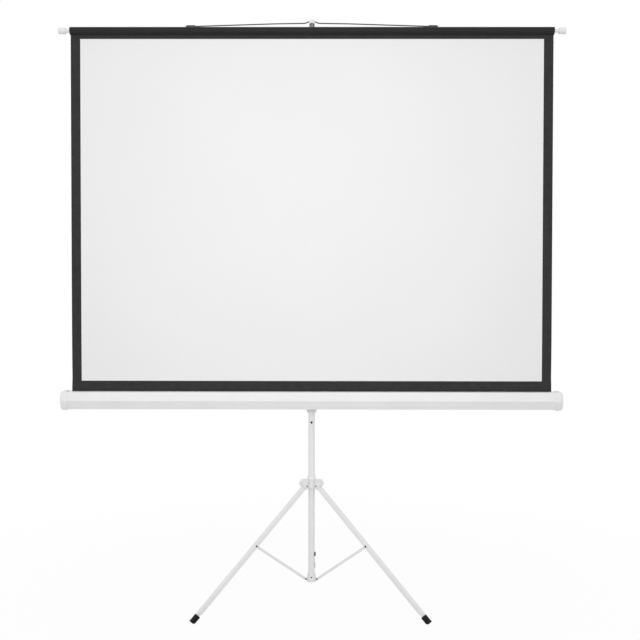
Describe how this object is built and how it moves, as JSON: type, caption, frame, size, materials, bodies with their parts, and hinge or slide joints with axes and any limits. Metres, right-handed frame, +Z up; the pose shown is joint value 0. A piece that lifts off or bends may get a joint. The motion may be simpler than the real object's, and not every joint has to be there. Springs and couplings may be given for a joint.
{
  "type": "tripod projection screen",
  "caption": "Portable tripod projection screen: a white fabric screen that rises from a case on a telescoping pole and folding legs.",
  "frame": {"origin": "on the floor, under the middle of the whole object's box", "axes": "+X to the right of a viewer facing the screen, +Y away from that viewer, +Z up"},
  "size_m": [2.206, 0.8798, 2.578],
  "materials": {
    "white_paint": "semi-gloss",
    "white_plastic": "semi-gloss",
    "dark_metal": "satin",
    "steel": "satin",
    "black_rubber": "matt",
    "black_plastic": "matt",
    "screen_fabric": "matt",
    "black_fabric": "matt"
  },
  "bodies": {
    "tripod": {"tripod_tube": "white_paint", "base_casting": "white_plastic", "base_screws": "dark_metal", "tube_top_collar": "white_plastic", "pole_bumper": "black_plastic"},
    "hub": {"hub": "white_plastic"},
    "height_button": {"height_button": "black_plastic"},
    "mast": {"mast_tube": "white_paint", "mast_collar": "white_plastic", "case_clamp_block": "white_plastic"},
    "mast_lock_knob": {"mast_lock_knob": "white_plastic"},
    "lower_extension": {"lower_extension_tube": "white_paint", "lower_extension_collar": "white_plastic"},
    "extension_lock_knob": {"extension_lock_knob": "white_plastic"},
    "upper_extension": {"upper_extension_tube": "white_paint", "hook_cap": "white_plastic", "batten_tube": "steel", "batten_hem": "black_fabric", "batten_end_knob_left": "white_plastic", "batten_end_knob_right": "white_plastic", "bail_eyes": "dark_metal", "bail_keeper": "black_plastic"},
    "bail": {"bail_wire": "dark_metal"},
    "case": {"case_shell": "white_paint", "case_cap_left": "white_plastic", "case_cap_right": "white_plastic", "case_saddle": "steel", "case_pivot_pin": "steel", "screen_fabric": "screen_fabric"},
    "roller": {"roller_tube": "steel", "roller_plugs": "steel", "roller_spring": "steel", "fabric_wrap": "screen_fabric"},
    "leg_left": {"leg_left_cap": "white_plastic", "leg_left_pin": "dark_metal", "leg_left_channel": "white_paint", "leg_left_foot_plug": "white_plastic", "leg_left_foot": "black_rubber", "leg_left_brace_pin": "dark_metal"},
    "brace_left": {"brace_left_channel": "white_paint", "brace_left_rivets": "dark_metal"},
    "leg_right": {"leg_right_cap": "white_plastic", "leg_right_pin": "dark_metal", "leg_right_channel": "white_paint", "leg_right_foot_plug": "white_plastic", "leg_right_foot": "black_rubber", "leg_right_brace_pin": "dark_metal"},
    "brace_right": {"brace_right_channel": "white_paint", "brace_right_rivets": "dark_metal"},
    "leg_rear": {"leg_rear_cap": "white_plastic", "leg_rear_pin": "dark_metal", "leg_rear_channel": "white_paint", "leg_rear_foot_plug": "white_plastic", "leg_rear_foot": "black_rubber", "leg_rear_brace_pin": "dark_metal"},
    "brace_rear": {"brace_rear_channel": "white_paint", "brace_rear_rivets": "dark_metal"}
  },
  "joints": [
    {"name": "hub_slide", "type": "slide", "parent": "tripod", "child": "hub", "axis": [0, 0, 1], "range_m": [0, 0.23021]},
    {"name": "leg_left_fold", "type": "hinge", "parent": "hub", "child": "leg_left", "pos_m": [-0.02598, -0.15542, 0.526], "axis": [0.5, -0.866, 0], "range_deg": [0, 46.01]},
    {"name": "brace_left_fold", "type": "hinge", "parent": "leg_left", "child": "brace_left", "pos_m": [-0.23941, -0.27864, 0.28801], "axis": [0.5, -0.866, 0], "range_deg": [-100.4, 0]},
    {"name": "leg_right_fold", "type": "hinge", "parent": "hub", "child": "leg_right", "pos_m": [0.02598, -0.15542, 0.526], "axis": [0.5, 0.866, 0], "range_deg": [0, 46.01]},
    {"name": "brace_right_fold", "type": "hinge", "parent": "leg_right", "child": "brace_right", "pos_m": [0.23941, -0.27864, 0.28801], "axis": [0.5, 0.866, 0], "range_deg": [-100.4, 0]},
    {"name": "leg_rear_fold", "type": "hinge", "parent": "hub", "child": "leg_rear", "pos_m": [0, -0.11042, 0.526], "axis": [-1, 0, 0], "range_deg": [0, 46.01]},
    {"name": "brace_rear_fold", "type": "hinge", "parent": "leg_rear", "child": "brace_rear", "pos_m": [0, 0.13602, 0.28801], "axis": [-1, 0, 0], "range_deg": [-100.4, 0]},
    {"name": "height_button_press", "type": "slide", "parent": "tripod", "child": "height_button", "axis": [0, 1, 0], "range_m": [0, 0.0015], "stiffness_N_per_m": 400},
    {"name": "mast_slide", "type": "slide", "parent": "tripod", "child": "mast", "axis": [0, 0, 1], "range_m": [0, 0.45]},
    {"name": "mast_lock_knob_turn", "type": "hinge", "parent": "mast", "child": "mast_lock_knob", "pos_m": [0, -0.14042, 0.94], "axis": [0, 1, 0], "range_deg": [-180, 180]},
    {"name": "lower_extension_slide", "type": "slide", "parent": "mast", "child": "lower_extension", "axis": [0, 0, -1], "range_m": [0, 0.778]},
    {"name": "extension_lock_knob_turn", "type": "hinge", "parent": "lower_extension", "child": "extension_lock_knob", "pos_m": [0, -0.14042, 1.742], "axis": [0, 1, 0], "range_deg": [-180, 180]},
    {"name": "upper_extension_slide", "type": "slide", "parent": "lower_extension", "child": "upper_extension", "axis": [0, 0, -1], "range_m": [0, 0.773], "deforming": ["screen_fabric"]},
    {"name": "bail_swing", "type": "hinge", "parent": "upper_extension", "child": "bail", "pos_m": [0, -0.19917, 2.5383], "axis": [1, 0, 0], "range_deg": [0, 135]},
    {"name": "case_swivel", "type": "hinge", "parent": "mast", "child": "case", "pos_m": [0, -0.17042, 0.912], "axis": [0, 1, 0], "range_deg": [-50, 0]},
    {"name": "roller_turn", "type": "hinge", "parent": "case", "child": "roller", "pos_m": [0, -0.21842, 0.912], "axis": [1, 0, 0], "range_deg": [-2369.4, 0]}
  ],
  "couplings": [
    {"joint": "leg_left_fold", "follows": "hub_slide", "rad_per_m": 3.4874},
    {"joint": "brace_left_fold", "follows": "hub_slide", "rad_per_m": -7.611},
    {"joint": "leg_right_fold", "follows": "hub_slide", "rad_per_m": 3.4874},
    {"joint": "brace_right_fold", "follows": "hub_slide", "rad_per_m": -7.611},
    {"joint": "leg_rear_fold", "follows": "hub_slide", "rad_per_m": 3.4874},
    {"joint": "brace_rear_fold", "follows": "hub_slide", "rad_per_m": -7.611},
    {"joint": "roller_turn", "follows": "upper_extension_slide", "rad_per_m": -53.476}
  ]
}
